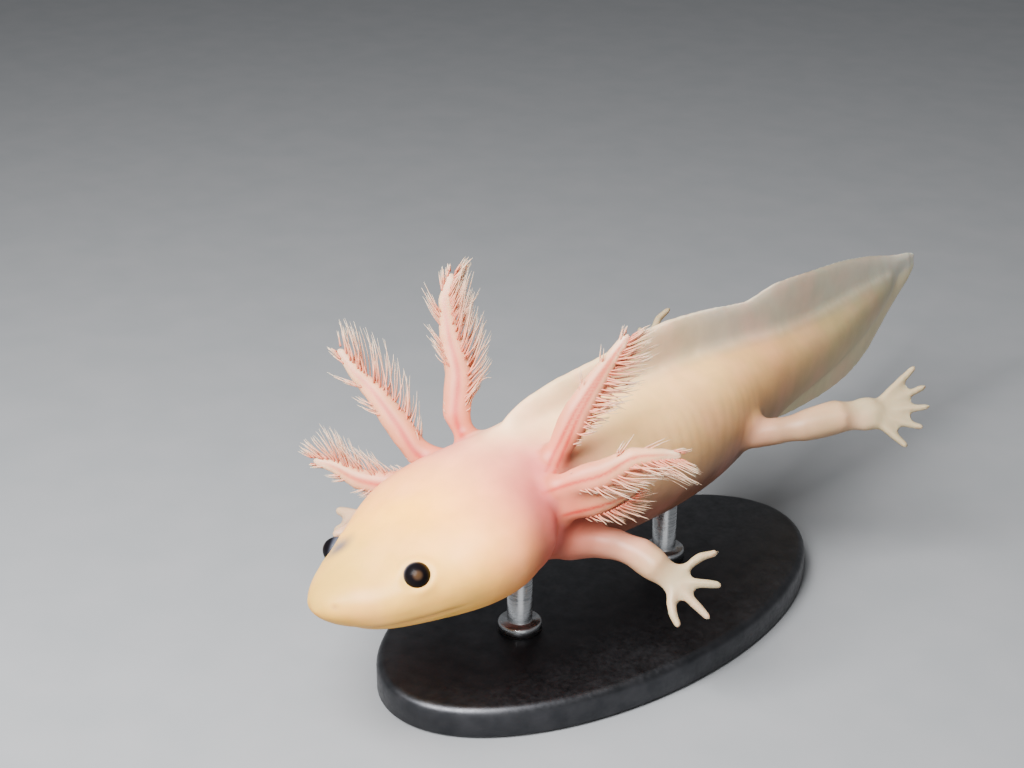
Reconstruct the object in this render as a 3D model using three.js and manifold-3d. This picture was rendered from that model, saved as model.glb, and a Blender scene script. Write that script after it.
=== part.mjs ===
// A young leucistic axolotl, about 86 mm long, gliding through water, as a still museum model
// on a plain stand. Millimetres, +Z up. The nose points along -Y and the animal's left side
// is +X. The origin is the middle of the stand's underside. Head, trunk and tail follow one
// bent centreline, and the legs, gills and fins are placed around it.
import * as THREE from "three";
import { mergeVertices } from "three/addons/utils/BufferGeometryUtils.js";
import Module from "manifold-3d";

const wasm = await Module();
wasm.setup();

const CUT = 0.3; // gap between two neighbouring pieces
const BODY_HEIGHT = 14; // zero level of the body's heights, above the underside of the stand
const vec = (x, y, z) => new THREE.Vector3(x, y, z);
const body = (x, y, z) => vec(x, y, z + BODY_HEIGHT);

// ---------------------------------------------------------------- colours and finishes

function finish(color, roughness, metalness = 0) {
  return new THREE.MeshStandardMaterial({ color, roughness, metalness });
}
const creamSkin = finish(0xf0d2b8, 0.35);
const rosySkin = finish(0xf0c4b4, 0.35);
const tanSkin = finish(0xd9bfa4, 0.4);
const clearFin = finish(0xcfc6b8, 0.35);
const paleLimb = finish(0xf1dacb, 0.35);
const gillFlesh = finish(0xe39a92, 0.4);
const gillPlume = finish(0xf3dbd6, 0.5);
const darkEye = finish(0x17141a, 0.12);
const blackStand = finish(0x26272a, 0.45);
const steelRod = finish(0xb9bbbd, 0.25, 1);

// ---------------------------------------------------------------- solids from three.js shapes

// A three.js geometry as a manifold solid.
function solid(geometry) {
  const bare = geometry.clone();
  bare.deleteAttribute("normal");
  bare.deleteAttribute("uv");
  const merged = mergeVertices(bare, 1e-4);
  const vertProperties = merged.attributes.position.array;
  const triVerts = new Uint32Array(merged.index.array);
  return new wasm.Manifold(new wasm.Mesh({ numProp: 3, vertProperties, triVerts }));
}

// A manifold solid as a three.js geometry.
function geometryOf(manifold) {
  const mesh = manifold.getMesh();
  const geometry = new THREE.BufferGeometry();
  geometry.setAttribute("position", new THREE.BufferAttribute(mesh.vertProperties, 3));
  geometry.setIndex(new THREE.BufferAttribute(mesh.triVerts, 1));
  geometry.computeVertexNormals();
  return geometry;
}

// A sphere whose every vertex is sent to place(t, angle): t runs from 0 to 1 between the
// poles, and angle once round.
function rings(around, along, place) {
  const geometry = new THREE.SphereGeometry(1, around, along);
  const { position, uv } = geometry.attributes;
  for (let i = 0; i < position.count; i++) {
    const row = Math.round((1 - uv.getY(i)) * along);
    const column = Math.round(uv.getX(i) * around) % around;
    const pole = row === 0 || row === along;
    const point = place(row / along, pole ? 0 : (column / around) * 2 * Math.PI);
    position.setXYZ(i, point.x, point.y, point.z);
  }
  return solid(geometry);
}

function ball(centre, radius) {
  return solid(new THREE.SphereGeometry(radius, 10, 8).translate(...centre.toArray()));
}

// An upright rod of the stand, so far along it and between two heights.
function rod(y, bottom, top, radius) {
  const geometry = new THREE.CylinderGeometry(radius, radius, top - bottom, 16);
  geometry.rotateX(Math.PI / 2).translate(STAND.side, y, (top + bottom) / 2);
  return solid(geometry);
}

// A large block whose face stands at a point and which fills all that lies further along a
// direction.
const HUGE = 200;
function everythingBeyond(point, direction, offset = 0) {
  const geometry = new THREE.BoxGeometry(HUGE, HUGE, HUGE).translate(0, 0, HUGE / 2 + offset);
  geometry.applyQuaternion(new THREE.Quaternion().setFromUnitVectors(vec(0, 0, 1), direction));
  return solid(geometry.translate(...point.toArray()));
}

// ---------------------------------------------------------------- profiles

// A smooth curve through [where, value] pairs, level at both ends.
function through(pairs, where) {
  const last = pairs.length - 1;
  if (where <= pairs[0][0]) return pairs[0][1];
  if (where >= pairs[last][0]) return pairs[last][1];
  const i = pairs.findIndex(([at]) => at > where) - 1;
  const slope = (k) => {
    if (k === 0 || k === last) return 0;
    return (pairs[k + 1][1] - pairs[k - 1][1]) / (pairs[k + 1][0] - pairs[k - 1][0]);
  };
  const span = pairs[i + 1][0] - pairs[i][0];
  const t = (where - pairs[i][0]) / span;
  const start = (1 + 2 * t) * (1 - t) ** 2 * pairs[i][1] + t * (1 - t) ** 2 * span * slope(i);
  return start + t * t * (3 - 2 * t) * pairs[i + 1][1] + t * t * (t - 1) * span * slope(i + 1);
}

// How full a rounded end is: 0 at its tip, 1 at the given depth behind the tip and beyond.
function rounded(distance, depth) {
  return Math.sqrt(1 - Math.max(0, 1 - Math.max(0, distance) / depth) ** 2);
}

// The cosine of an angle with its curve made fuller, so that a section drawn with it is boxier.
function fullCosine(angle) {
  return Math.sign(Math.cos(angle)) * Math.abs(Math.cos(angle)) ** 0.6;
}

// ---------------------------------------------------------------- centreline and body shape

const centreline = new THREE.CatmullRomCurve3([
  body(-0.2, -29.5, -1.4),
  body(0.1, -24.0, -1.0),
  body(-0.1, -17.6, -0.1),
  body(-0.2, -11.2, 0.5),
  body(-0.2, 1.0, 0.9),
  body(-1.5, 14.0, 0.8),
  body(-4.6, 34.0, 0.3),
  body(-8.8, 53.8, 1.2),
]);
const LENGTH = centreline.getLength();

// Distances behind the nose, along the centreline.
const HEAD_END = 19.5;
const NECK_END = 26;
const TRUNK_END = 46; // just behind the hind legs
const TAIL_MIDDLE = 64;
const MUSCLE_END = 81; // the tail's flesh stops here and its fins run on
const FIN_START = 17.5;
const FIN_END = 85.8;

// Each list below pairs a distance behind the nose with a value there.
// Roll in degrees: the head's left side is held a little higher.
const leftSideUp = [
  [0, 10],
  [16, 10],
  [34, 0],
];

// Point, direction to the tail, up and left at a distance behind the nose.
function station(distance) {
  const u = THREE.MathUtils.clamp(distance / LENGTH, 0, 1);
  const back = centreline.getTangentAt(u);
  const point = centreline.getPointAt(u).addScaledVector(back, distance - u * LENGTH);
  const up = vec(0, 0, 1).addScaledVector(back, -back.z).normalize();
  up.applyAxisAngle(back, -THREE.MathUtils.degToRad(through(leftSideUp, distance)));
  return { point, back, up, left: up.clone().cross(back).negate() };
}

// A point at a distance behind the nose, so far to the left of the centreline and so far above it.
function at(distance, left, height) {
  const s = station(distance);
  return s.point.addScaledVector(s.left, left).addScaledVector(s.up, height);
}

// The body's half width, and how far its back and belly lie from the centreline.
const halfWidth = [
  [0, 3.4],
  [4, 5.0],
  [8, 6.9],
  [12, 8.7],
  [14, 8.6],
  [16.5, 7.4],
  [19.5, 5.9],
  [22, 5.9],
  [26, 6.1],
  [34, 6.3],
  [41, 5.6],
  [47, 4.4],
  [55, 3.2],
  [67, 2.2],
  [76, 1.3],
  [81, 0.7],
];
const rise = [
  [0, 1.8],
  [4, 2.3],
  [9, 3.7],
  [14, 5.2],
  [20, 5.6],
  [31, 5.9],
  [39, 5.6],
  [47, 4.5],
  [57, 3.2],
  [67, 2.5],
  [75, 1.7],
  [81, 0.7],
];
const drop = [
  [0, 1.4],
  [4, 2.8],
  [10, 4.8],
  [13.5, 5.0],
  [17, 4.6],
  [21, 5.5],
  [29, 6.3],
  [39, 6.6],
  [46, 5.9],
  [55, 4.6],
  [63, 4.2],
  [71, 3.6],
  [76, 2.5],
  [81, 0.8],
];

// Depths over which the snout rounds off in width and in height, and the tail muscle's end.
const BLUNT = { wide: 4.5, tall: 3.4, tail: 1.2 };

// Head, trunk and tail muscle in one, without fins or legs, grown outwards by a clearance.
// The rings stand closer together towards the nose.
function bodyShape(grow = 0) {
  return rings(20, 38, (t, angle) => {
    const distance = MUSCLE_END * t ** 1.5;
    const profile = Math.sin(angle) > 0 ? rise : drop;
    const side = through(halfWidth, distance) * rounded(distance, BLUNT.wide) + grow;
    const tall = through(profile, distance) * rounded(distance, BLUNT.tall) + grow;
    const fatness = t === 0 ? 0 : rounded(MUSCLE_END - distance, BLUNT.tail);
    const along = distance + grow * (2 * t - 1);
    return at(along, Math.cos(angle) * side * fatness, Math.sin(angle) * tall * fatness);
  });
}
const wholeBody = bodyShape();
const clearance = bodyShape(CUT);

// The part of a solid between two cross-cuts, given by their distances behind the nose.
function stretch(manifold, from, to) {
  const start = station(from);
  const end = station(to);
  return manifold
    .subtract(everythingBeyond(start.point, start.back.negate(), -CUT / 2))
    .subtract(everythingBeyond(end.point, end.back, -CUT / 2));
}

// ---------------------------------------------------------------- mouth and eyes

const MOUTH = { height: -1.8, middle: 5, corner: 7.8 }; // the lips' level and reach behind the nose
const EYE = { distance: 6.0, left: 4.65, height: 1.3, radius: 1.05 };

// The block that the lower jaw is cut with, grown by a clearance.
function jawBlock(grow) {
  const { point, back, up, left } = station(MOUTH.middle);
  const geometry = new THREE.BoxGeometry(HUGE, HUGE, HUGE);
  const backEdge = MOUTH.corner - MOUTH.middle + grow;
  geometry.translate(0, backEdge - HUGE / 2, MOUTH.height + grow - HUGE / 2);
  const placing = new THREE.Matrix4().makeBasis(left, back, up).setPosition(point);
  return solid(geometry.applyMatrix4(placing));
}
const eyeCentre = (side) => at(EYE.distance, side * EYE.left, EYE.height);

// ---------------------------------------------------------------- tubes, legs, gills and fins

// A bending tube through points, with radii spread evenly along it and rounded ends. flat
// makes it thinner in the direction that it faces.
function tube(points, radii, options = {}) {
  const { around = 8, along = 12, flat = 1, facing = vec(0, 0, 1), grow = 0 } = options;
  const curve = new THREE.CatmullRomCurve3(points);
  const length = curve.getLength();
  const table = radii.map((radius, i) => [i / (radii.length - 1), radius]);
  return rings(around, along, (t, angle) => {
    const u = 0.5 - 0.5 * Math.cos(Math.PI * t);
    const back = curve.getTangentAt(u);
    const side = facing.clone().cross(back).normalize();
    const over = side.clone().cross(back);
    const radius = through(table, u);
    const end = rounded(Math.min(u, 1 - u) * length, radius);
    const size = t === 0 || t === 1 ? 0 : radius * Math.max(end, 0.3) + grow;
    const point = curve.getPointAt(u).addScaledVector(back, grow * (2 * u - 1));
    point.addScaledVector(side, Math.cos(angle) * size);
    return point.addScaledVector(over, Math.sin(angle) * size * flat);
  });
}

// One leg in three pieces. joints are its root, its elbow or knee and its wrist or ankle, radii
// run from its root to the front of its palm, and digits are the ways from the palm to the tips
// of its fingers or toes. bows tell how far each digit bows sideways, web how far the palm
// reaches between the digits, and plump how much thicker than usual they are.
function leg({ joints, radii, palm, digits, facing, bows = [], web = 0.5, plump = 1 }) {
  const [root, middle, end] = joints;
  const whole = tube([root, middle, end, palm], radii.slice(0, 4), { along: 10, facing });
  const upperWay = middle.clone().sub(root).normalize();
  const lowerWay = end.clone().sub(middle).normalize();
  const bend = upperWay.clone().add(lowerWay).normalize();
  const heel = end.clone().addScaledVector(lowerWay, -PALM.heel);
  const front = palm.clone().addScaledVector(lowerWay, web);
  let hand = tube([heel, palm, front], radii.slice(2), { along: 6, flat: PALM.flat, facing });
  digits.forEach((offset, i) => {
    const way = vec(...offset);
    const aside = facing.clone().cross(way).setLength(bows[i] ?? 0);
    const points = [0, 0.4, 0.7, 1].map((part) =>
      palm.clone().addScaledVector(way, part).addScaledVector(aside, Math.sin(Math.PI * part)),
    );
    const digitRadii = DIGIT_RADII.map((radius) => radius * plump);
    hand = hand.add(tube(points, digitRadii, { around: 5, along: 5, facing }));
  });
  return [
    whole.subtract(clearance).subtract(everythingBeyond(middle, bend, -CUT / 2)),
    whole
      .subtract(everythingBeyond(middle, bend.clone().negate(), -CUT / 2))
      .subtract(everythingBeyond(end, lowerWay, -CUT / 2)),
    hand.subtract(everythingBeyond(end, lowerWay.clone().negate(), -CUT / 2)),
  ];
}

// One gill in two pieces: the fleshy stalk, and the plume of filaments round it as one thin
// notched blade. plumeWay points to its longer side, and reach is how wide each side is.
function gill({ inner, root, path, plumeWay, reach }) {
  const points = path.map((offset) => root.clone().add(vec(...offset)));
  const stalkPoints = [inner, root, ...points];
  const curve = new THREE.CatmullRomCurve3([root, ...points]);
  const [longSide, shortSide] = reach;
  const way = vec(...plumeWay);
  const blade = rings(6, PLUME.rows, (t, angle) => {
    const u = PLUME.start + (1 - PLUME.start) * t;
    const back = curve.getTangentAt(u);
    const out = way.clone().addScaledVector(back, -way.dot(back)).normalize();
    const thick = out.clone().cross(back);
    const row = Math.round(t * PLUME.rows);
    const inMiddle = row > 4 && row < PLUME.rows - 2;
    const notch = inMiddle && row % 2 === 0 ? PLUME.notch : 1;
    const pole = row === 0 || row === PLUME.rows;
    const across = fullCosine(angle);
    const fullness = pole ? 0 : Math.sin(Math.PI * t ** 1.1) ** 0.5 * notch;
    const width = across * fullness * (across > 0 ? longSide : shortSide);
    const thickness = pole ? 0 : (Math.sin(angle) * PLUME.thickness) / 2;
    const point = curve.getPointAt(u).addScaledVector(back, PLUME.beyondTip * t ** 4);
    return point.addScaledVector(out, width).addScaledVector(thick, thickness);
  });
  const facing = way.clone().cross(points.at(-1).clone().sub(root));
  const ribbon = { around: 6, along: 8, flat: STALK.flat, facing };
  const stalk = (grow) => tube(stalkPoints, STALK.radii, { ...ribbon, grow });
  return [stalk(0).subtract(clearance), blade.subtract(stalk(CUT)).subtract(clearance)];
}

// An upright fin along the body from an edge buried in the flesh to its free edge, each a
// height above the centreline. Its foot is thicker, as a wedge of flesh.
function fin(from, to, buried, free, rows) {
  return rings(6, rows, (t, angle) => {
    const distance = from + (to - from) * t;
    const foot = through(buried, distance);
    const tall = through(free, distance) - foot;
    const level = 0.5 + 0.5 * Math.sin(angle);
    const thickness = t === 0 || t === 1 ? 0 : through(finThickness, distance);
    const wide = (thickness / 2) * (1 + FIN_WEDGE * (1 - level)) * Math.sign(tall);
    return at(distance, fullCosine(angle) * wide, foot + tall * level);
  });
}

// ---------------------------------------------------------------- measurements of the legs, gills and fins

const DIGIT_RADII = [0.5, 0.46, 0.4, 0.3];
const PALM = { heel: 1.3, flat: 0.6 };
const facingOut = vec(0.6, -0.6, 0.5);
const legs = {
  fore_left: {
    joints: [body(3.4, -9.9, -1.4), body(8.4, -6.3, -1.7), body(11.7, -5.7, -2.9)],
    palm: body(12.4, -5.5, -3.4),
    radii: [2.1, 1.3, 1.35, 1.2, 0.9],
    digits: [
      [1.2, 3.9, 1.6],
      [2.8, 2.5, -0.1],
      [3.2, 0.7, -2.2],
      [2.0, -1.4, -2.6],
    ],
    bows: [0.6, 0.1, 0, -0.45],
    facing: facingOut,
  },
  hind_left: {
    joints: [body(1.5, 12.2, -1.0), body(5.9, 16.1, -0.1), body(8.8, 20.2, 0.9)],
    palm: body(9.9, 21.5, 0.9),
    radii: [1.6, 1.2, 1.45, 1.5, 1.5],
    digits: [
      [0.8, 5.3, 3.2],
      [2.2, 5.1, 1.8],
      [3.4, 4.2, 0.5],
      [3.8, 2.9, -1.0],
      [3.4, 1.3, -2.5],
    ],
    web: 1.5,
    facing: facingOut,
  },
  fore_right: {
    joints: [body(-3.4, -9.9, -1.2), body(-8.4, -10.8, -3.4), body(-10.2, -14.4, -3.4)],
    palm: body(-10.7, -15.5, -3.2),
    radii: [1.7, 1.15, 1.45, 1.4, 1.05],
    digits: [
      [-3.7, -0.5, -0.4],
      [-2.6, -1.7, -1.5],
      [-1.2, -3.0, -0.9],
      [0.4, -3.0, -0.6],
    ],
    plump: 1.35,
    facing: vec(0.0, 0.1, 1.0),
  },
  hind_right: {
    joints: [body(-4.4, 12.2, -1.0), body(-8.9, 15.4, -0.4), body(-11.3, 18.5, 0.6)],
    palm: body(-12.2, 19.8, 0.8),
    radii: [1.6, 1.2, 1.45, 1.5, 1.5],
    digits: [
      [-3.9, 1.6, 0.2],
      [-2.4, 4.6, 1.9],
      [-1.6, 4.9, 0.2],
      [0.2, 5.0, -0.6],
      [1.8, 3.8, -1.2],
    ],
    bows: [0, 1.0],
    web: 1.5,
    facing: vec(0.1, -0.3, 1.0),
  },
};

const STALK = { radii: [0.95, 1.05, 0.8, 0.42], flat: 0.7 };
const PLUME = { thickness: 0.62, rows: 12, start: 0.2, beyondTip: 1.4, notch: 0.85 };
const gills = {
  dorsal_left: {
    inner: at(19.2, 2.6, 1.5),
    root: at(20.1, 4.2, 3.25),
    path: [
      [0.7, 2.3, 4.3],
      [1.6, 5.2, 8.3],
      [2.1, 6.3, 9.8],
    ],
    plumeWay: [0.72, 0.63, -0.2],
    reach: [3.1, 1.5],
  },
  middle_left: {
    inner: at(18.2, 3.8, 1.6),
    root: at(19.0, 5.8, 2.45),
    path: [
      [2.8, 2.1, 1.3],
      [4.2, 3.7, 2.6],
      [5.9, 5.5, 2.8],
      [6.7, 6.6, 2.6],
    ],
    plumeWay: [0.5, 0.0, -0.85],
    reach: [3.2, 1.7],
  },
  ventral_left: {
    inner: at(18.4, 4.2, 0.4),
    root: at(19.4, 6.2, 0.6),
    path: [
      [1.2, 1.2, 0.3],
      [2.3, 2.8, 0.9],
      [3.0, 4.6, 1.2],
    ],
    plumeWay: [0.35, 0.25, -0.9],
    reach: [2.4, 0.7],
  },
  dorsal_right: {
    inner: at(19.6, -2.6, 1.5),
    root: at(19.8, -4.2, 3.2),
    path: [
      [-1.2, -0.3, 1.6],
      [-2.0, 0.3, 3.5],
      [-2.6, 1.1, 5.5],
      [-4.2, 1.5, 8.3],
      [-5.2, 2.1, 10.3],
      [-5.6, 3.4, 12.4],
    ],
    plumeWay: [0.75, 0.65, 0.0],
    reach: [3.2, 2.1],
  },
  middle_right: {
    inner: at(18.4, -3.8, 1.6),
    root: at(18.9, -5.8, 2.4),
    path: [
      [-2.2, -1.6, 0.3],
      [-3.7, -1.8, 1.9],
      [-6.0, -2.1, 4.0],
      [-8.3, -2.7, 5.8],
      [-10.0, -2.9, 7.4],
    ],
    plumeWay: [0.33, 0.72, 0.59],
    reach: [3.2, 1.8],
  },
  ventral_right: {
    inner: at(18.2, -4.2, 0.4),
    root: at(18.8, -6.4, 0.6),
    path: [
      [-2.4, -2.5, -0.4],
      [-4.0, -3.9, -0.6],
      [-6.0, -4.8, -0.2],
      [-8.0, -5.6, 0.5],
      [-9.3, -6.3, 0.5],
    ],
    plumeWay: [-0.15, 0.43, 0.91],
    reach: [2.8, 1.3],
  },
};

// Heights of the fins' free edges, and of the edges buried in the body, above the centreline.
const finTop = [
  [FIN_START, 4.2],
  [19.5, 6.8],
  [22, 8.0],
  [25, 8.6],
  [29, 9.1],
  [33, 9.75],
  [37, 9.9],
  [45, 8.8],
  [49, 8.0],
  [54, 8.4],
  [60, 7.8],
  [67, 6.7],
  [74, 4.7],
  [79, 2.8],
  [83, 1.5],
  [85, 1.2],
  [FIN_END, 0.5],
];
const finBottom = [
  [TRUNK_END, -4.0],
  [50, -5.5],
  [56, -6.4],
  [62, -7.0],
  [69, -7.4],
  [74, -6.6],
  [78, -4.7],
  [82, -2.8],
  [84.6, -1.6],
  [FIN_END, -0.6],
];
const upperSeam = [
  [FIN_START, 1.5],
  [24, 0.6],
  [60, 0.0],
  [80, 0.16],
];
const lowerSeam = [
  [TRUNK_END, -0.3],
  [60, -0.3],
  [80, -0.16],
];
const FIN_WEDGE = 1.6; // how much thicker a fin is at its buried edge
const finThickness = [
  [19, 1.6],
  [30, 1.5],
  [60, 0.85],
  [87, 0.75],
];

// A flat oval base, and two rods that run from holes in it up into the body.
const STAND = { length: 44, width: 24, thickness: 2.6, floor: 1, side: -0.4 };
const ROD = { radius: 1, top: BODY_HEIGHT - 3.6, front: -9, rear: 8 };

// ---------------------------------------------------------------- putting it together

const group = new THREE.Group();
function add(name, manifold, material) {
  const mesh = new THREE.Mesh(geometryOf(manifold), material);
  mesh.name = name;
  group.add(mesh);
}

const eyeSockets = ball(eyeCentre(1), EYE.radius + CUT).add(ball(eyeCentre(-1), EYE.radius + CUT));
const head = stretch(wholeBody, -5, HEAD_END);
add("head", head.subtract(jawBlock(CUT)).subtract(eyeSockets), creamSkin);
add("lower_jaw", head.intersect(jawBlock(0)), creamSkin);
add("eye_left", ball(eyeCentre(1), EYE.radius), darkEye);
add("eye_right", ball(eyeCentre(-1), EYE.radius), darkEye);

const frontHole = rod(ROD.front, STAND.floor, ROD.top + CUT, ROD.radius + CUT);
const rearHole = rod(ROD.rear, STAND.floor, ROD.top + CUT, ROD.radius + CUT);
const rodHoles = frontHole.add(rearHole);
add("neck", stretch(wholeBody, HEAD_END, NECK_END).subtract(rodHoles), rosySkin);
add("trunk", stretch(wholeBody, NECK_END, TRUNK_END).subtract(rodHoles), creamSkin);
add("tail_front", stretch(wholeBody, TRUNK_END, TAIL_MIDDLE), tanSkin);
add("tail_rear", stretch(wholeBody, TAIL_MIDDLE, FIN_END), tanSkin);

const backFin = fin(FIN_START, FIN_END, upperSeam, finTop, 28).subtract(clearance);
const bellyFin = fin(TRUNK_END, FIN_END, lowerSeam, finBottom, 18).subtract(clearance);
add("dorsal_fin", stretch(backFin, 0, TRUNK_END), clearFin);
add("tail_fin_upper", stretch(backFin, TRUNK_END, FIN_END + 5), clearFin);
add("tail_fin_lower", bellyFin, clearFin);

for (const [name, shape] of Object.entries(legs)) {
  const [upper, lower, end] = leg(shape);
  add(`${name}_upper`, upper, paleLimb);
  add(`${name}_lower`, lower, paleLimb);
  add(`${name}_${name.startsWith("fore") ? "hand" : "foot"}`, end, paleLimb);
}
for (const [name, shape] of Object.entries(gills)) {
  const [stalk, plume] = gill(shape);
  add(`gill_${name}`, stalk, gillFlesh);
  add(`plume_${name}`, plume, gillPlume);
}

const disc = new THREE.CylinderGeometry(0.5, 0.5, STAND.thickness, 40).rotateX(Math.PI / 2);
const plate = solid(disc.scale(STAND.width, STAND.length, 1).translate(0, 0, STAND.thickness / 2));
add("stand_base", plate.subtract(rodHoles), blackStand);
add("stand_rod_front", rod(ROD.front, STAND.floor + CUT, ROD.top, ROD.radius), steelRod);
add("stand_rod_rear", rod(ROD.rear, STAND.floor + CUT, ROD.top, ROD.radius), steelRod);

export default group;
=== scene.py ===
# %% [markdown]
# # A young axolotl, as a museum model
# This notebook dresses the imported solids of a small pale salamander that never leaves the
# water. The solids give every place and size. The skin, the eyes, the gill filaments and the
# stand's finish are made here, in metres, around them.

# %% Load the frame
import math
import bpy
import numpy as np
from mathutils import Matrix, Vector
from mathutils.bvhtree import BVHTree


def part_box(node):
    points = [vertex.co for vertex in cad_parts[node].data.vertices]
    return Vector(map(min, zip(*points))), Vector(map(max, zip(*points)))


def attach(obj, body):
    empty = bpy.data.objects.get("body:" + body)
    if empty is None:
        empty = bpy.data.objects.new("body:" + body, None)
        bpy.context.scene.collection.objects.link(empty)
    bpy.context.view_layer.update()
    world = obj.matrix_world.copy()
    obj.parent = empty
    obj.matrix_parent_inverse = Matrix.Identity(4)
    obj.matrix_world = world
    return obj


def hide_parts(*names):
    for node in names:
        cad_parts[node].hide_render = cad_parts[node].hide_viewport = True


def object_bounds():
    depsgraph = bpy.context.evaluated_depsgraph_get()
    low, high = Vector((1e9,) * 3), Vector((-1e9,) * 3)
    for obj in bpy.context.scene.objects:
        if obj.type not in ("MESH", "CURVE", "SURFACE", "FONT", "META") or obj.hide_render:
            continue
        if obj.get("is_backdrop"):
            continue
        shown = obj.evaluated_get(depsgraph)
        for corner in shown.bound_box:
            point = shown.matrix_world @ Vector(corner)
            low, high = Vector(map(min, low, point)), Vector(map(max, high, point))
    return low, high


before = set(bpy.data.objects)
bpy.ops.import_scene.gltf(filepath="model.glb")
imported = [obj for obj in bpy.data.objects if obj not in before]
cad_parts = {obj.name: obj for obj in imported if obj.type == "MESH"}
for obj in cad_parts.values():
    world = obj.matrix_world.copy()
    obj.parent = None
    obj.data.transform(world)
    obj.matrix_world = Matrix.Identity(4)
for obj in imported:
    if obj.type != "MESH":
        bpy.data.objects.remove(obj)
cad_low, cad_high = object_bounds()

MM = 0.001
print("nodes:", len(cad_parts))
print("size in mm:", [round(side / MM, 1) for side in cad_high - cad_low])

# %% [markdown]
# ## Camera
# The camera comes first, so that each later piece can be looked at as soon as it is there. It
# looks down on the animal's left side from in front. Its place is worked out from two angles
# and a distance to a point in the middle of the view.

# %% Camera
AZIMUTH = math.radians(46)
ELEVATION = math.radians(24)
AIM = Vector((-6.14, -4.31, 20.46)) * MM
FAR = 150 * MM
LENS = 66.8  # mm, before a sensor 36 mm wide

away = Vector((
    math.sin(AZIMUTH) * math.cos(ELEVATION),
    -math.cos(AZIMUTH) * math.cos(ELEVATION),
    math.sin(ELEVATION),
))
camera = bpy.data.objects.new("camera", bpy.data.cameras.new("camera"))
bpy.context.collection.objects.link(camera)
camera.location = AIM + away * FAR
camera.rotation_mode = "QUATERNION"
camera.rotation_quaternion = (-away).to_track_quat("-Z", "Y")
camera.data.lens = LENS
camera.data.clip_start = 5 * MM
camera.data.clip_end = 20
bpy.context.scene.camera = camera
print("camera at, in mm:", [round(c / MM, 1) for c in camera.location])

# %% [markdown]
# ## Helpers for meshes
# A mesh is handled as two arrays, its points and its faces, because arithmetic on whole arrays
# is quick and easy to read. One function makes an object from them and one reads them back.

# %% Meshes as arrays
def add_object(name, points, faces, material=None):
    mesh = bpy.data.meshes.new(name)
    mesh.from_pydata(points, [], faces)
    mesh.shade_smooth()
    made = bpy.data.objects.new(name, mesh)
    bpy.context.collection.objects.link(made)
    if material:
        mesh.materials.append(material)
    return made


def read(items, field, width, kind=float):
    values = np.empty(len(items) * width, kind)
    items.foreach_get(field, values)
    return values.reshape(-1, width)


def points_of(node):
    return read(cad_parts[node].data.vertices, "co", 3)


def store(made, name, values):
    layer = made.data.attributes.new(name, "FLOAT", "POINT")
    layer.data.foreach_set("value", np.asarray(values, np.float32))


def unit(vectors):
    return vectors / np.maximum(np.linalg.norm(vectors, axis=-1, keepdims=True), 1e-12)


def dot(a, b):
    return (a * b).sum(-1)


def step(values, start, end):
    t = np.clip((values - start) / (end - start), 0, 1)
    return t * t * (3 - 2 * t)


def hump(values, middle, width):
    return np.exp(-(((values - middle) / width) ** 2))


# %% [markdown]
# ## Which solids are flesh
# The animal is one soft body, but its solids are parted by thin cuts. They are sorted here by
# what they are, because the skin is smoothed more over the body than over the toes.

# %% Sort the nodes
NODES = list(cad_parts)
BODY = ["head", "lower_jaw", "neck", "trunk", "tail_front", "tail_rear"]
FINS = ["dorsal_fin", "tail_fin_upper", "tail_fin_lower"]
GILLS = [name for name in NODES if name.startswith("gill_")]
HANDS = [name for name in NODES if name.endswith(("_hand", "_foot"))]
ARMS = [name for name in NODES if name.startswith(("fore_", "hind_")) and name not in HANDS]
EYES = ["eye_left", "eye_right"]
FLESH = BODY + FINS + ARMS + HANDS + GILLS
print(len(FLESH), "nodes of flesh and", len(GILLS), "gills")


def joined(names):
    points, faces, owners = [], [], []
    for k, name in enumerate(names):
        start = sum(map(len, points))
        points.append(points_of(name))
        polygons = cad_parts[name].data.polygons
        faces += [[start + i for i in polygon.vertices] for polygon in polygons]
        owners += [k] * len(polygons)
    return np.vstack(points), faces, np.array(owners)


# %% [markdown]
# ## The spine
# Many marks follow the body: stripes, folds and the line of the mouth. So the middle of the
# body is measured first, by rays sent through the solids from both sides and from above and
# below. The line between the two eyes tells how far the head is rolled over.

# %% Measure the spine
OUTSIDE = 60 * MM  # rays start this far away, well outside the body
SLICE = 1.1 * MM
SPINE_STEP = 0.4 * MM
ROLL_ENDS = 34 * MM  # from here back the body is level
ROLL_FULL = 16 * MM  # from here forward it is rolled as far as the head
body_points, body_faces, _ = joined(BODY)
body_tree = BVHTree.FromPolygons(body_points.tolist(), body_faces)


def middle_of_hits(place, way):
    ends = []
    for sign in (1, -1):
        start = Vector(place) - Vector(way) * sign * OUTSIDE
        hit = body_tree.ray_cast(start, Vector(way) * sign)[0]
        if hit is None:
            return None
        ends.append(hit)
    return (ends[0] + ends[1]) / 2


nose = body_points[body_points[:, 1].argmin()]
tail_end = body_points[body_points[:, 1].argmax()]
found = [nose]
x, z = nose[0], nose[2]
for y in np.arange(nose[1] + 1.5 * MM, tail_end[1] - 2.5 * MM, SLICE):
    across = middle_of_hits((x, y, z), (1, 0, 0))
    upright = middle_of_hits((across.x, y, z), (0, 0, 1)) if across else None
    if upright:
        x, z = across.x, upright.z
        found.append(np.array((x, y, z)))
found = np.array(found + [tail_end])
for _ in range(6):
    found[1:-1] = found[1:-1] * 0.5 + (found[:-2] + found[2:]) * 0.25
fin_tip = points_of("tail_fin_upper")
fin_tip = fin_tip[fin_tip[:, 1].argmax()]
found = np.vstack([found, tail_end + (fin_tip - tail_end) * (1, 1, 0)])

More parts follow.
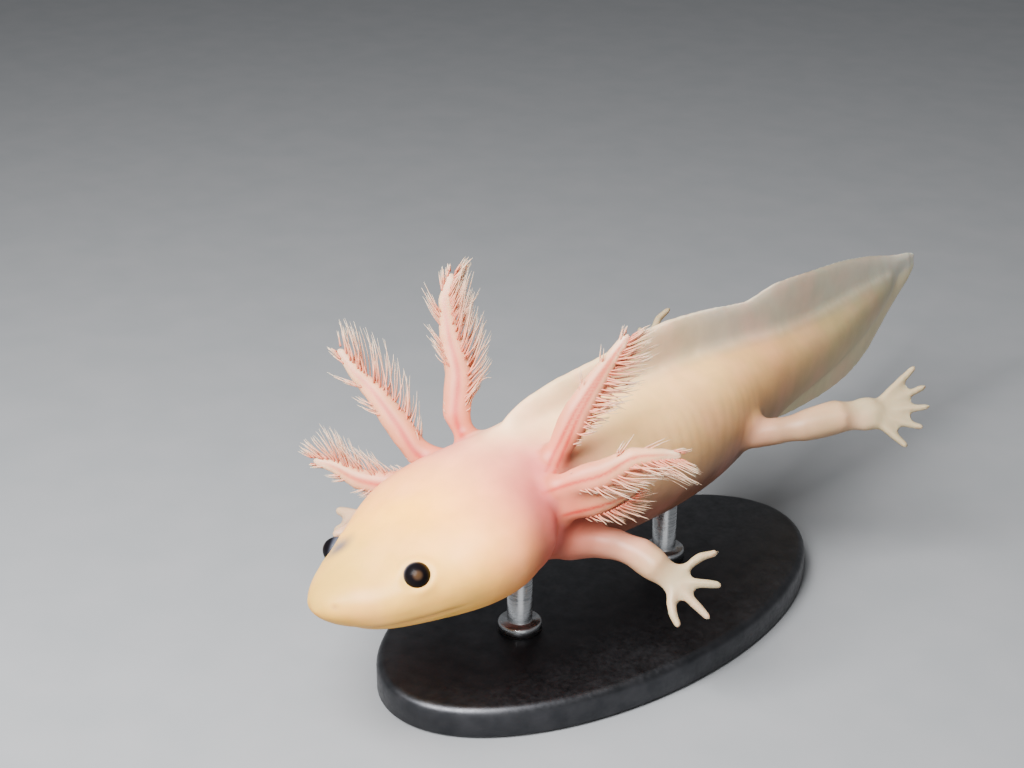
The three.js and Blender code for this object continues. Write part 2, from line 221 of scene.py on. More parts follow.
gone = np.r_[0, np.cumsum(np.linalg.norm(np.diff(found, axis=0), axis=1))]
places = np.arange(0, gone[-1], SPINE_STEP)
spine = np.stack([np.interp(places, gone, found[:, k]) for k in range(3)], 1)
spine_back = unit(np.gradient(spine, axis=0))
eye_middle = {eye: np.mean(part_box(eye), axis=0) for eye in EYES}
eye_line = unit(eye_middle["eye_left"] - eye_middle["eye_right"])
level = unit(np.cross(spine_back, (0, 0, 1.0)))
tilted = unit(eye_line - spine_back * (spine_back @ eye_line)[:, None])
rolled = step(places, ROLL_ENDS, ROLL_FULL)[:, None]
spine_left = unit(level * (1 - rolled) + tilted * rolled)
spine_up = np.cross(spine_left, spine_back)
in_head = round(4.8 * MM / SPINE_STEP)  # the spine's point in the middle of the snout
print("length from nose to tail tip in mm:", round(gone[-1] / MM, 1))
print("head rolled over by, in degrees:", round(math.degrees(math.asin(eye_line[2])), 1))


def body_places(points):
    """Distance behind the nose, to the left and up, in mm, and which way is left."""
    nearest = np.empty(len(points), int)
    at_once = 20000  # a larger batch would need more memory
    for start in range(0, len(points), at_once):
        batch = slice(start, start + at_once)
        gap = ((points[batch, None, :2] - spine[None, :, :2]) ** 2).sum(2)
        nearest[batch] = gap.argmin(1)
    offset = points - spine[nearest]
    along = places[nearest] + dot(offset, spine_back[nearest])
    left = dot(offset, spine_left[nearest])
    high = dot(offset, spine_up[nearest])
    return along / MM, left / MM, high / MM, spine_left[nearest]


# %% [markdown]
# ## One skin over all the flesh
# A real axolotl has no seams, so one closed skin replaces every node of flesh. The solids are
# joined and turned into small voxels. The raw voxel mesh is swollen until the cuts close, is
# voxelised again and shrinks back. Two round plugs fill the rod holes in the belly.

# %% Make the raw skin
VOXEL = 0.2 * MM
SWELL = 0.22 * MM
PLUG_SIDES = 24
PLUG_WIDER = 0.5 * MM  # than the rod
PLUG_DEEPER = 0.6 * MM


def voxelised(points, faces):
    raw = add_object("raw", points, faces)
    modifier = raw.modifiers.new("voxels", "REMESH")
    modifier.mode = "VOXEL"
    modifier.voxel_size = VOXEL
    graph = bpy.context.evaluated_depsgraph_get()
    mesh = bpy.data.meshes.new_from_object(raw.evaluated_get(graph))
    corners = read(mesh.loops, "vertex_index", 1, int)
    made = read(mesh.vertices, "co", 3), corners.reshape(-1, 4)
    bpy.data.objects.remove(raw)
    return made


def normals_of(points, quads):
    corner = points[quads]
    flat = np.cross(corner[:, 2] - corner[:, 0], corner[:, 3] - corner[:, 1])
    total = np.zeros_like(points)
    for k in range(3):
        total[:, k] = np.bincount(quads.ravel(), np.repeat(flat[:, k], 4), len(points))
    return unit(total)


def plug(rod):
    """A closed round body in the rod's hole, level with the belly round it."""
    low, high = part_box(rod)
    middle, radius = (low + high) / 2, (high.x - low.x) / 2 + PLUG_WIDER
    hits = [
        body_tree.ray_cast(Vector((middle.x + side, middle.y, low.z)), Vector((0, 0, 1)))[0]
        for side in (-radius, radius)
    ]
    turn = np.linspace(0, 2 * math.pi, PLUG_SIDES, endpoint=False)
    ring = np.stack([middle.x + radius * np.cos(turn), middle.y + radius * np.sin(turn)], 1)
    levels = ((hits[0].z + hits[1].z) / 2, high.z + PLUG_DEEPER)
    points = np.vstack([np.c_[ring, np.full(PLUG_SIDES, level)] for level in levels])
    bottom = list(range(PLUG_SIDES))
    top = [k + PLUG_SIDES for k in bottom]
    walls = [[a, b, d, c] for a, b, c, d in zip(bottom, bottom[1:] + [0], top, top[1:] + top[:1])]
    return points, walls + [bottom[::-1], top]


raw_points, raw_faces, _ = joined(FLESH + EYES)
RODS = ("stand_rod_front", "stand_rod_rear")
for rod in RODS:
    more, walls = plug(rod)
    raw_faces = raw_faces + [[len(raw_points) + i for i in wall] for wall in walls]
    raw_points = np.vstack([raw_points, more])
points, quads = voxelised(raw_points, raw_faces)
points, quads = voxelised(points + normals_of(points, quads) * SWELL, quads.tolist())
print("skin:", len(points), "points and", len(quads), "quads")

# %% [markdown]
# ## Regions and neighbours
# Smoothing has to know two things about each point of the skin: which solid it came from, and
# which points are its neighbours. The nearest face of the solids tells the first. The sides of
# the quads tell the second, as two lists of point numbers, so that all neighbours are added up
# at once.

# %% Regions and neighbours
flesh_points, flesh_faces, flesh_owner = joined(FLESH)
flesh_tree = BVHTree.FromPolygons(flesh_points.tolist(), flesh_faces)
hit_face = np.array([flesh_tree.find_nearest(point)[2] for point in points.tolist()])
region = np.array(FLESH)[flesh_owner[hit_face]]

sides = np.sort(np.vstack([quads[:, [k, (k + 1) % 4]] for k in range(4)]), axis=1)
sides = np.unique(sides[:, 0] * len(points) + sides[:, 1])
first, second = sides // len(points), sides % len(points)
links = np.bincount(np.r_[first, second], minlength=len(points))[:, None]
print("sides between neighbours:", len(sides))


def of_neighbours(values):
    """For each point, the mean of its neighbours' values."""
    total = np.empty_like(values)
    for k, column in enumerate(values.T.copy()):
        total[:, k] = np.bincount(first, column[second], len(column))
        total[:, k] += np.bincount(second, column[first], len(column))
    return total / links


def blurred(names, passes):
    """1 on the skin of the named solids and 0 elsewhere, with a soft border."""
    values = np.isin(region, names)[:, None].astype(float)
    for _ in range(passes):
        values = values * 0.5 + of_neighbours(values) * 0.5
    return values[:, 0]


# %% [markdown]
# ## Smooth each region as much as it can take
# Smoothing moves a point towards the middle of its neighbours. Broad parts take a lot of it,
# which clears every facet, and toes and gills take little, or they would melt away. A fin is
# smoothed hard through its thickness only, so that its outline stays. What smoothing took off
# the shape is smoothed as well and given back.

# %% Smooth the skin
SMOOTHING_PASSES = 90
on_fin, on_arm, on_hand, on_gill = (blurred(names, 8) for names in (FINS, ARMS, HANDS, GILLS))
on_body = np.clip(1 - on_fin - on_arm - on_hand - on_gill, 0, 1)
along, _, high, sideways = body_places(points)
strength = on_body + 0.06 * on_fin + 0.3 * on_arm + 0.05 * on_hand + 0.1 * on_gill
through_fin = (on_fin * (1 - strength))[:, None]


def smoothed(values):
    for _ in range(SMOOTHING_PASSES):
        move = of_neighbours(values) - values
        through = dot(move, sideways)[:, None] * sideways
        values = values + 0.5 * (strength[:, None] * move + through_fin * through)
    return values


soft = smoothed(points)
moved = np.linalg.norm(soft - points, axis=1).max() / MM
points = soft + smoothed(points - soft)
print("before anything is given back, the most that smoothing moves a point:", moved.round(2), "mm")

# %% [markdown]
# ## Soft creases
# Flesh runs in soft fillets over the creases where fins, legs and gills leave the body, and
# over elbows, wrists, knees and ankles. So these are smoothed once more, with the front end of
# the back fin and the tip of the tail. Two blurred regions overlap only where they meet, so
# their product finds each joint. Then the skin shrinks back by as much as it was swollen, and
# the fins a little more, which makes them thin.

# %% Soften the creases and shrink the skin
CREASE_PASSES = 60
FIN_THINNED = 0.16 * MM


def eased(points, weight, passes):
    """The points smoothed by a weight from 0 to 1, which differs from place to place."""
    for _ in range(passes):
        points = points + 0.5 * weight[:, None] * (of_neighbours(points) - points)
    return points


growth = blurred(FINS + ARMS + GILLS, 24)
crease = np.clip(4 * growth * (1 - growth), 0, 1) ** 2
UPPERS = [name for name in ARMS if name.endswith("_upper")]
LOWERS = [name for name in ARMS if name.endswith("_lower")]
for one, other in ((UPPERS, LOWERS), (ARMS, HANDS)):
    joint = blurred(one, 40) * blurred(other, 40)
    crease = np.maximum(crease, np.clip(6 * joint, 0, 1))
fin_start = body_places(points_of("dorsal_fin"))[0].min()
at_fin_start = hump(along, fin_start + 0.6, 1.6) * step(high, 1, 3) * (on_body + on_fin)
at_tail_end = step(along, along.max() - 2, along.max() - 0.6)
crease = np.maximum(np.maximum(crease, at_fin_start), at_tail_end)
points = eased(points, crease, CREASE_PASSES)
shrink = (SWELL + FIN_THINNED * on_fin) * (1 - 0.9 * at_tail_end)
points -= normals_of(points, quads) * shrink[:, None]
normals = normals_of(points, quads)
along, left, high, _ = body_places(points)
round_body = np.degrees(np.arctan2(high, np.abs(left)))
print("skin reaches from", along.min().round(1), "to", along.max().round(1), "mm")

# %% [markdown]
# ## Sockets for the eyes
# An axolotl has no eyelids. Its skin meets the eyeball in a neat ring, with a faint soft rim.
# Points near an eye are brought to one level, a little over the middle of the eyeball.

# %% Sink the eye sockets
EYE_LEVEL = 0.35 * MM
SOCKET_REACH = 2.2 * MM
RIM_HEIGHT = 0.02 * MM
eye_out = {}
for eye, middle in eye_middle.items():
    offset = points - middle
    near = np.linalg.norm(offset, axis=1) < SOCKET_REACH
    out = unit(normals[near].sum(0))
    eye_out[eye] = out
    height = offset @ out
    beside = np.linalg.norm(offset - height[:, None] * out, axis=1) / MM
    in_reach = near & (height > -1.0 * MM)
    pull = step(beside, 1.65, 1.0) * in_reach
    rim = RIM_HEIGHT * hump(beside, 1.25, 0.22) * in_reach
    points += out * ((EYE_LEVEL - height) * pull + rim)[:, None]
print("eyes look out along:", {eye: out.round(2).tolist() for eye, out in eye_out.items()})

# %% [markdown]
# ## Mouth, throat fold, grooves and nostrils
# These are shallow forms, pressed into the skin along its normals. Each is first measured as a
# number from 0 to 1 on every point. The level of the lips comes from the flat top of the lower
# jaw's solid. The lips are a little full on both sides of the line between them.

# %% Lips
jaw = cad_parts["lower_jaw"].data
jaw_normals = read(jaw.polygons, "normal", 3)
jaw_areas = read(jaw.polygons, "area", 1)
on_top = jaw_normals @ spine_up[in_head] > 0.93
lip_up = unit((jaw_normals[on_top] * jaw_areas[on_top]).sum(0))
jaw_middles = read(jaw.polygons, "center", 3)[on_top]
lip_place = (jaw_middles * jaw_areas[on_top]).sum(0) / jaw_areas[on_top].sum()
mouth_corner = body_places(points_of("lower_jaw"))[0].max()
lip_height = (points - lip_place) @ lip_up / MM + 0.2 * step(along, 3, 8)
in_mouth = step(along, mouth_corner - 0.2, mouth_corner - 2) * on_body
lip = in_mouth * hump(lip_height, 0, 0.2)
lips_full = in_mouth * (hump(lip_height, 0.55, 0.35) + 0.6 * hump(lip_height, -0.6, 0.4))
print("mouth corner", round(mouth_corner, 1), "mm behind the nose")

# %% [markdown]
# The fold behind the cheeks hangs over the neck, further back at the top than at the throat.
# The cheek in front of it is full. Along the flank, upright grooves mark the muscles between
# the ribs. They fade out towards the back, the belly and both ends.

# %% Throat fold and grooves
neck_start = body_places(points_of("neck"))[0].min()
fold_place = along - (neck_start - 1.1 + 0.9 * np.sin(np.radians(round_body)))
fold_side = step(round_body, 25, -5) * on_body
fold = hump(fold_place, 0, 0.45) * fold_side
cheek_full = hump(fold_place, -1.3, 1.0) * fold_side

GROOVE_SPACING = 1.15  # mm
GROOVE_SLANT = 0.12  # how far a groove leans back for each mm up
trunk_end = body_places(points_of("trunk"))[0].max()
ribs_from, ribs_to = neck_start + 8.5, trunk_end - 1
flank = step(round_body, 50, 25) * step(round_body, -75, -45) * on_body
flank *= step(along, ribs_from - 1, ribs_from + 1) * step(along, ribs_to + 1, ribs_to - 1)
turns = (along - high * GROOVE_SLANT) / GROOVE_SPACING
groove = (0.5 + 0.5 * np.cos(2 * math.pi * turns)) ** 2 * flank
print("throat fold", round(neck_start, 1), "mm back, grooves:",
      int((ribs_to - ribs_from) / GROOVE_SPACING))

# %% Nostrils, and all forms pressed in
NOSTRIL = (0.85, 1.75, 0.55)  # mm behind, beside and above the tip of the nose
nostril = np.zeros(len(points))
for side in (1, -1):
    hole = np.array(NOSTRIL) * (1, side, 1)
    nostril += hump(np.linalg.norm(np.stack([along, left, high], 1) - hole, axis=1), 0, 0.2)

press = 0.05 * lips_full + 0.16 * cheek_full
press -= 0.17 * lip + 0.3 * fold + 0.012 * groove + 0.1 * nostril
points += normals * (press * MM)[:, None]
normals = normals_of(points, quads)
print("pressed in by up to", -press.min().round(2), "mm")

# %% [markdown]
# ## Follow each gill
# A gill is a fleshy stalk with fine filaments on its sides. Its path is found from its solid:
# starting at the tip, the points one edge away form the first ring, the next form the second,
# and the middle of each ring lies on the path. The plume's solid tells how far the filaments
# reach on either side.

# %% Measure the gills
PATH_STEPS = 60
MOST_IN_RING = 8  # a ring with more points than this is the stalk's cut root
LEAST_REACH = 0.4  # mm
# How each gill grows: its vessels lie at these places across the stalk and are as wide as its
# vein, in mm. The filaments lean and curl to the tip by these amounts, and short and dense are
# the shares of them that grow on the short side and on the long one.
HABITS = {
    "gill_dorsal_left": dict(
        vessels=(-0.32, 0.3), vein=0.16, lean=0.45, curl=0.12, short=0.1, dense=1.0),
    "gill_middle_left": dict(
        vessels=(0.0,), vein=0.16, lean=1.0, curl=0.12, short=0.12, dense=1.0),
    "gill_ventral_left": dict(
        vessels=(0.0,), vein=0.16, lean=0.9, curl=0.1, short=0.2, dense=1.0),
    "gill_dorsal_right": dict(
        vessels=(0.0,), vein=0.28, lean=1.0, curl=0.25, short=0.4, dense=1.0),
    "gill_middle_right": dict(
        vessels=(0.0,), vein=0.28, lean=0.55, curl=0.55, short=0.15, dense=0.55),
    "gill_ventral_right": dict(
        vessels=(0.0,), vein=0.28, lean=0.5, curl=0.4, short=0.4, dense=0.7),
}


def rings_from_tip(node):
    """The solid's points in mm, ring by ring from the tip to the root."""
    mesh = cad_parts[node].data
    rounded = np.round(points_of(node) / MM, 3)
    places, index = np.unique(rounded, axis=0, return_inverse=True)
    edges = index.ravel()[read(mesh.edges, "vertices", 2, int)]
    reached = np.linalg.norm(places * MM - np.mean(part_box("neck"), axis=0), axis=1)
    ring = np.zeros(len(places), bool)
    ring[reached.argmax()] = True
    seen, rings = ring.copy(), [places[ring]]
    while len(rings[-1]) <= MOST_IN_RING:
        next_ring = np.zeros(len(places), bool)
        next_ring[edges[ring[edges].any(1)].ravel()] = True
        ring = next_ring & ~seen
        if not ring.any():
            break
        seen |= ring
        rings.append(places[ring])
    return rings


def curve_through(knots, count):
    """A smooth curve through a few points, and its direction, at even steps."""
    knots = np.vstack([2 * knots[0] - knots[1], knots, 2 * knots[-1] - knots[-2]])
    made = []
    for a, b, c, d in zip(knots, knots[1:], knots[2:], knots[3:]):
        t = np.linspace(0, 1, 20, endpoint=False)[:, None]
        made.append(
            0.5 * (2 * b + (c - a) * t + (2 * a - 5 * b + 4 * c - d) * t**2
                   + (3 * b - a - 3 * c + d) * t**3)
        )
    made = np.vstack(made + [knots[-2][None]])
    length = np.r_[0, np.cumsum(np.linalg.norm(np.diff(made, axis=0), axis=1))]
    even = np.linspace(0, length[-1], count)
    made = np.stack([np.interp(even, length, made[:, k]) for k in range(3)], 1)
    return made, unit(np.gradient(made, axis=0)), length[-1]


# %% Path, width and reach of each gill
gill_facts = {}
for gill in GILLS:
    rings = rings_from_tip(gill)[::-1]
    knots = np.array([ring.mean(0) for ring in rings]) * MM
    path, way, length = curve_through(knots, PATH_STEPS)
    sizes = [np.linalg.norm(ring - ring.mean(0), axis=1).mean() for ring in rings[1:-1]]
    thick = np.interp(np.linspace(0, 1, PATH_STEPS), np.linspace(0, 1, len(sizes)), sizes)
    plume = points_of(gill.replace("gill", "plume"))
    nearest = ((plume[:, None] - path) ** 2).sum(2).argmin(1)
    offset = plume - path[nearest]
    offset -= dot(offset, way[nearest])[:, None] * way[nearest]
    wide = np.linalg.eigh(offset.T @ offset)[1][:, -1]
    wide *= np.sign((offset @ wide).max() + (offset @ wide).min())
    reach = {}
    for sign in (1, -1):
        sticks_out = offset @ wide * sign / MM
        reach[sign] = np.array([
            max(LEAST_REACH, sticks_out[np.abs(nearest - k) <= 5].max(initial=0))
            for k in range(PATH_STEPS)
        ])
    out = unit(wide - (way @ wide)[:, None] * way)
    gill_facts[gill] = dict(
        path=path, way=way, length=length, thick=thick * MM, out=out,
        across=np.cross(out, way), reach=reach,
    )
    print(gill, "length", round(length / MM, 1), "reach", [round(reach[s].max(), 1) for s in (1, -1)])

# %% [markdown]
# ## Flatten the gill stalks
# A gill stalk is a flat ribbon of flesh, wider than its solid, because the filaments' bases
# run together along both edges. The skin round each stalk is spread sideways a little, and its
# root is smoothed into the head.

# %% Spread the stalks
RIBBON = 0.3  # how much wider than the solid, at the root
ROUND_STALK = 1.7 * MM  # skin this close to a stalk's middle belongs to it
ROOT_PASSES = 50
near_gill = {}
for gill, facts in gill_facts.items():
    close = np.linalg.norm(points - facts["path"].mean(0), axis=1) < facts["length"]
    spots = np.flatnonzero(close)
    gap = ((points[spots][:, None] - facts["path"]) ** 2).sum(2)
    close = np.sqrt(gap.min(1)) < ROUND_STALK
    spots, nearest = spots[close], gap.argmin(1)[close]
    near_gill[gill] = spots, nearest
    part = nearest / (PATH_STEPS - 1)
    aside = dot(points[spots] - facts["path"][nearest], facts["out"][nearest])
    wider = RIBBON * (1 - 0.6 * part) * on_gill[spots] * step(part, 0.02, 0.3)
    points[spots] += (aside * wider)[:, None] * facts["out"][nearest]
at_root = sum(
    hump(np.linalg.norm(points - facts["path"][0], axis=1) / MM, 0, 1.5)
    for facts in gill_facts.values()
)
points = eased(points, np.clip(at_root, 0, 1), ROOT_PASSES)
normals = normals_of(points, quads)
print("points near gills:", {gill: len(spots) for gill, (spots, _) in near_gill.items()})

# %% [markdown]
# ## Marks that the skin's colours follow
# The colours aren't painted by hand. Each point of the skin stores a few plain facts, such as
# how far behind the nose it is, how high up the side, how far out on a limb, and how near the
# blood-filled gill roots. The material turns these facts into colours. The blush is strongest
# just in front of each gill's root, and a weaker one lies over the rear of the cheek.

# %% Vessels and blush
BLUSH_WIDTH = 4.0  # mm
BLUSH_AHEAD = 1.6 * MM
out_from_body = np.array([body_tree.find_nearest(point)[3] for point in points.tolist()]) / MM
vessel, gill_along, blush = np.zeros((3, len(points)))
for gill, facts in gill_facts.items():
    spots, nearest = near_gill[gill]
    offset = points[spots] - facts["path"][nearest]
    aside = dot(offset, facts["out"][nearest]) / MM
    part = nearest / (PATH_STEPS - 1)
    width = HABITS[gill]["vein"] * (1 - 0.4 * part)
    line = sum(hump(aside, at * (1 - part), width) for at in HABITS[gill]["vessels"])
    line *= 1 - 0.9 * part**3
    vessel[spots] = np.maximum(vessel[spots], line * step(out_from_body[spots], -0.2, 0.6))
    gill_along[spots] = part
    root = facts["path"][0]
    before = root - BLUSH_AHEAD * spine_back[((spine - root) ** 2).sum(1).argmin()]
    to_root = np.linalg.norm(points - before, axis=1) / MM
    blush = np.maximum(blush, hump(to_root, 0, BLUSH_WIDTH))
cheek = step(along, neck_start - 5.5, neck_start - 1.5) * step(along, neck_start + 1, neck_start)
blush = np.maximum(blush, 0.8 * cheek * hump(round_body, 2, 36) * on_body)
print("strongest blush", blush.max().round(2))

# %% [markdown]
# The eyeballs show through the skin round them as a slate haze, most of all where the animal
# is seen through its brow. Behind the cheeks, under the gills, the skin is sunk, and it is
# painted dark red: the red of blood with painted shade.

# %% Haze, shaded recess and all marks
HAZE_WIDTH = 1.25  # mm
# How strongly each eye shows through the skin, and where: inward, outward, up and forward from
# it, in mm.
CLOUDED = {"eye_left": (0.3, 0.95, 0.5, 0.0, 0.0), "eye_right": (1.5, 1.5, 0.0, 0.2, 0.35)}
haze = np.zeros(len(points))
for eye, middle in eye_middle.items():
    strong, far_in, far_out, far_up, ahead = CLOUDED[eye]
    inward = -unit(eye_line) if eye == "eye_left" else unit(eye_line)
    spot = middle + (inward * far_in + eye_out[eye] * far_out) * MM
    spot += (spine_up[in_head] * far_up - spine_back[in_head] * ahead) * MM
    haze += strong * hump(np.linalg.norm(points - spot, axis=1) / MM, 0, HAZE_WIDTH)
# Painted shade, with the red of blood: the recess behind the cheeks is painted dark red.
recess_red_and_shade = step(along, neck_start - 1.2, neck_start) * step(along, neck_start + 4.5, neck_start + 1)
recess_red_and_shade *= step(round_body, 45, 10) * (1 - on_gill)
MARKS = {
    "along": along, "round_body": round_body, "out_from_body": out_from_body,
    "fin": blurred(FINS, 80), "limb": np.clip(on_arm + on_hand, 0, 1),
    "hand": blurred(HANDS, 60), "gill": on_gill, "gill_along": gill_along, "vessel": vessel,
    "blush": blush, "haze": haze, "fold": fold, "recess_red_and_shade": recess_red_and_shade, "groove": groove,
    "lip_height": lip_height, "in_mouth": in_mouth, "nostril": nostril,
}
print("marks:", ", ".join(MARKS))

# %% Skin object
skin = add_object("skin", points, quads.tolist())
for name, values in MARKS.items():
    store(skin, name, values)
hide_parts(*FLESH)
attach(skin, "root")
print("one skin in place of", len(FLESH), "nodes")

# %% [markdown]
# ## Colours and nodes
# Colours are written as hex values, as on a paint chart, and one function turns them into the
# linear values that the shader wants. One more adds a node with its settings and its links.

# %% Colour and node helpers
def linear(hex_colour):
    """The linear red, green, blue and alpha of an sRGB hex colour."""
    parts = [int(hex_colour[k : k + 2], 16) / 255 for k in (1, 3, 5)]
    return [c / 12.92 if c < 0.04045 else ((c + 0.055) / 1.055) ** 2.4 for c in parts] + [1.0]


def add_node(tree, kind, inputs=(), **settings):
    """Adds a node. Its inputs are a number, a colour or another node's output, by socket."""
    made = tree.nodes.new(kind)
    for name, value in settings.items():
        setattr(made, name, value)
    for name, value in dict(inputs).items():
        if isinstance(value, bpy.types.NodeSocket):
            tree.links.new(value, made.inputs[name])
        else:
            made.inputs[name].default_value = value
    return made


def new_material(name, settings):
    """A material, its node tree and its shader, with the settings on the shader's own sockets."""
    made = bpy.data.materials.new(name)
    made.use_nodes = True
    shader = made.node_tree.nodes["Principled BSDF"]
    for socket, value in settings.items():
        shader.inputs[socket].default_value = value
    return made, made.node_tree, shader


def fill_ramp(ramp, stops):
    """Each stop is a place from 0 to 1 with a hex colour or a grey number."""
    elements = ramp.color_ramp.elements
    while len(elements) < len(stops):
        elements.new(0.5)
    for element, (place, colour) in zip(elements, stops):
        element.position = place
        element.color = linear(colour) if isinstance(colour, str) else [colour] * 3 + [1.0]
    return ramp.outputs["Color"]


# %% [markdown]
# ## Skin material
# A young pale axolotl has thin moist skin with almost no pigment. Light sinks about a
# millimetre into it and comes back warm, so the shader scatters light under the surface. The
# gloss is soft, because a film of slime covers very fine grain. Along the body the colour runs
# from cream at the snout over pink behind the head to greyish tan at the tail. Low down on
# the side the skin is painted darker, as painted shade over its own tan.

# %% Skin colour along the body
SKIN = {
    "Roughness": 0.46, "IOR": 1.38, "Specular IOR Level": 0.3,
    "Subsurface Weight": 0.35, "Subsurface Scale": 0.9 * MM,
    "Subsurface Radius": (1.0, 0.45, 0.3), "Coat Weight": 0.12, "Coat Roughness": 0.3,
}
skin_material, tree, shader = new_material("moist_skin", SKIN)


def mark(name):
    return add_node(tree, "ShaderNodeAttribute", attribute_name=name).outputs["Fac"]


def ranged(value, low, high, to_low=0.0, to_high=1.0):
    inputs = {"Value": value, "From Min": low, "From Max": high, "To Min": to_low, "To Max": to_high}
    return add_node(tree, "ShaderNodeMapRange", inputs).outputs[0]


def ramped(value, stops):
    return fill_ramp(add_node(tree, "ShaderNodeValToRGB", {"Fac": value}), stops)


def over(amount, under, top, way="MIX"):
    """One colour laid over another. The mix node's colour sockets are numbers 6 and 7."""
    inputs = {0: amount, 6: under, 7: linear(top) if isinstance(top, str) else top}
    return add_node(tree, "ShaderNodeMix", inputs, data_type="RGBA", blend_type=way).outputs[2]


def times(a, b):
    return add_node(tree, "ShaderNodeMath", {0: a, 1: b}, operation="MULTIPLY").outputs[0]


# The colours of the back, of the belly with painted shade and of the fins, each at a place
# in mm behind the nose.
LENGTH = gone[-1] / MM
BACK = [(0, "#bb9340"), (5, "#dcaa4a"), (10, "#fdb042"), (16, "#ee9c74"), (20, "#fed49a"),
        (30, "#fac882"), (40, "#f0bc74"), (50, "#d8a266"), (62, "#ac9364"), (74, "#a09572"),
        (85, "#c4c0ac")]
BELLY_WITH_SHADE = [(0, "#cc963a"), (8, "#eab052"), (15, "#bd6c44"), (22, "#7c3c2e"), (30, "#805441"),
         (42, "#6c493a"), (52, "#ac8a62"), (64, "#c8b284"), (85, "#c8c0a2")]
FIN = [(18, "#e6bc90"), (32, "#d8bc90"), (44, "#ccc2ae"), (60, "#b8b29c"), (85, "#d2cebc")]
where = ranged(mark("along"), 0, LENGTH)
back_colour, belly_and_shade_colour, fin_colour = (
    ramped(where, [(place / LENGTH, colour) for place, colour in chart])
    for chart in (BACK, BELLY_WITH_SHADE, FIN)
)
# Painted shade: the lower down the side, the more the darker belly chart covers the back's colour.
underside_shade_mask = ranged(mark("round_body"), 55, -25)
colour = over(underside_shade_mask, back_colour, belly_and_shade_colour)

# %% [markdown]
# Blood shows through where the skin is thinnest: lilac and salmon round the gill roots, red
# along the vessel in each gill, and pink at the throat fold. Painted shade darkens the red
# recess under the gills and the grooves on the flank. Each of these is one soft layer over the
# colour below it. The fins are clear grey, and painted lighter low down, where they lie in
# shade. The toes are pale and slightly green. Last come a slate haze over the eyes, painted
# shade along the line of the mouth and in the nostrils, and faint pink blotches.

# %% Skin colour by place
def noise(scale, detail=2.0, stretch=(1, 1, 1)):
    """Noise about as coarse as the scale, in mm."""
    position = add_node(tree, "ShaderNodeTexCoord").outputs["Object"]
    placed = add_node(tree, "ShaderNodeMapping", {"Vector": position, "Scale": stretch}).outputs[0]
    inputs = {"Vector": placed, "Scale": 1 / (scale * MM), "Detail": detail}
    return add_node(tree, "ShaderNodeTexNoise", inputs).outputs[0]


# Blush and fold are the red of blood. The recess is dark red as blood and painted shade, and the
# grooves on the flank are painted darker as painted shade.
BLOOD_AND_SHADE = {"blush": (0.9, "#c85e5e"), "recess_red_and_shade": (0.95, "#8f3c2e"), "fold": (0.8, "#c4604a"),
         "groove": (0.12, "#8f6c50")}
for name, (amount, tint) in BLOOD_AND_SHADE.items():
    colour = over(times(mark(name), amount), colour, tint)
# Painted light: low down, where the fins lie in shade, they are painted lighter.
fin_colour = over(ranged(mark("round_body"), 0, -60), fin_colour, "#dccca4")
colour = over(ranged(mark("fin"), 0.1, 0.9, 0, 0.85), colour, fin_colour)
limb_colour = ramped(ranged(mark("out_from_body"), 0, 12), [
    (0, "#9c4c3a"), (0.22, "#a4705a"), (0.45, "#ac8a68"), (0.8, "#a08e6e"), (1, "#a4a088"),
])
limb_colour = over(ranged(mark("along"), 26, 42, 0, 0.65), limb_colour, "#9c8062")
colour = over(ranged(mark("limb"), 0.05, 0.8, 0, 0.9), colour, limb_colour)
colour = over(ranged(mark("hand"), 0.05, 0.9, 0, 0.55), colour, "#988e70")
stalk_colour = ramped(mark("gill_along"), [
    (0, "#be644a"), (0.35, "#c07a5a"), (0.75, "#c4946e"), (1, "#caac8e"),
])
colour = over(ranged(mark("gill"), 0.05, 0.6), colour, stalk_colour)
colour = over(times(mark("vessel"), 0.95), colour, "#a42216")
colour = over(ranged(mark("haze"), 0.15, 1.1, 0, 0.9), colour, "#484b58")
# Painted shade: a brown line along the crease between the lips, and dark spots in the nostrils.
mouth_line_shade = ramped(ranged(mark("lip_height"), -0.3, 0.3), [(0.2, 0.0), (0.5, 1.0), (0.8, 0.0)])
colour = over(times(times(mouth_line_shade, mark("in_mouth")), 0.55), colour, "#9a6a48")
colour = over(times(mark("nostril"), 0.7), colour, "#8e5f45")
colour = over(ranged(noise(4.5), 0.45, 0.72, 0, 0.2), colour, "#ea9684")
mottle = ranged(noise(2.2), 0.35, 0.65, 0.94, 1.05)
colour = over(1.0, colour, mottle, "MULTIPLY")
tree.links.new(colour, shader.inputs["Base Color"])

# %% Grain of the skin
GRAIN = 0.22  # mm between the skin's tiny glands, drawn twice as coarse as real ones to show
GRAIN_HEIGHT = 0.03 * MM
grain = add_node(tree, "ShaderNodeBump", {
    "Strength": 0.25, "Distance": GRAIN_HEIGHT, "Height": noise(GRAIN, 3.0),
})
tree.links.new(grain.outputs[0], shader.inputs["Normal"])
skin.data.materials.append(skin_material)
print(skin_material.name, "with", len(tree.nodes), "nodes")

# %% [markdown]
# ## Eyes
# The eyeball is black, with a small golden brown spot where light comes back through the
# pupil, and no lids. It is built in rings round the direction of gaze, with a dome over the
# pupil, because a plain ball would have no cornea. A faint clear coat makes the wet gloss,
# which stays dim, as under water. Where the ball runs in under the translucent skin, it looks
# slate grey.

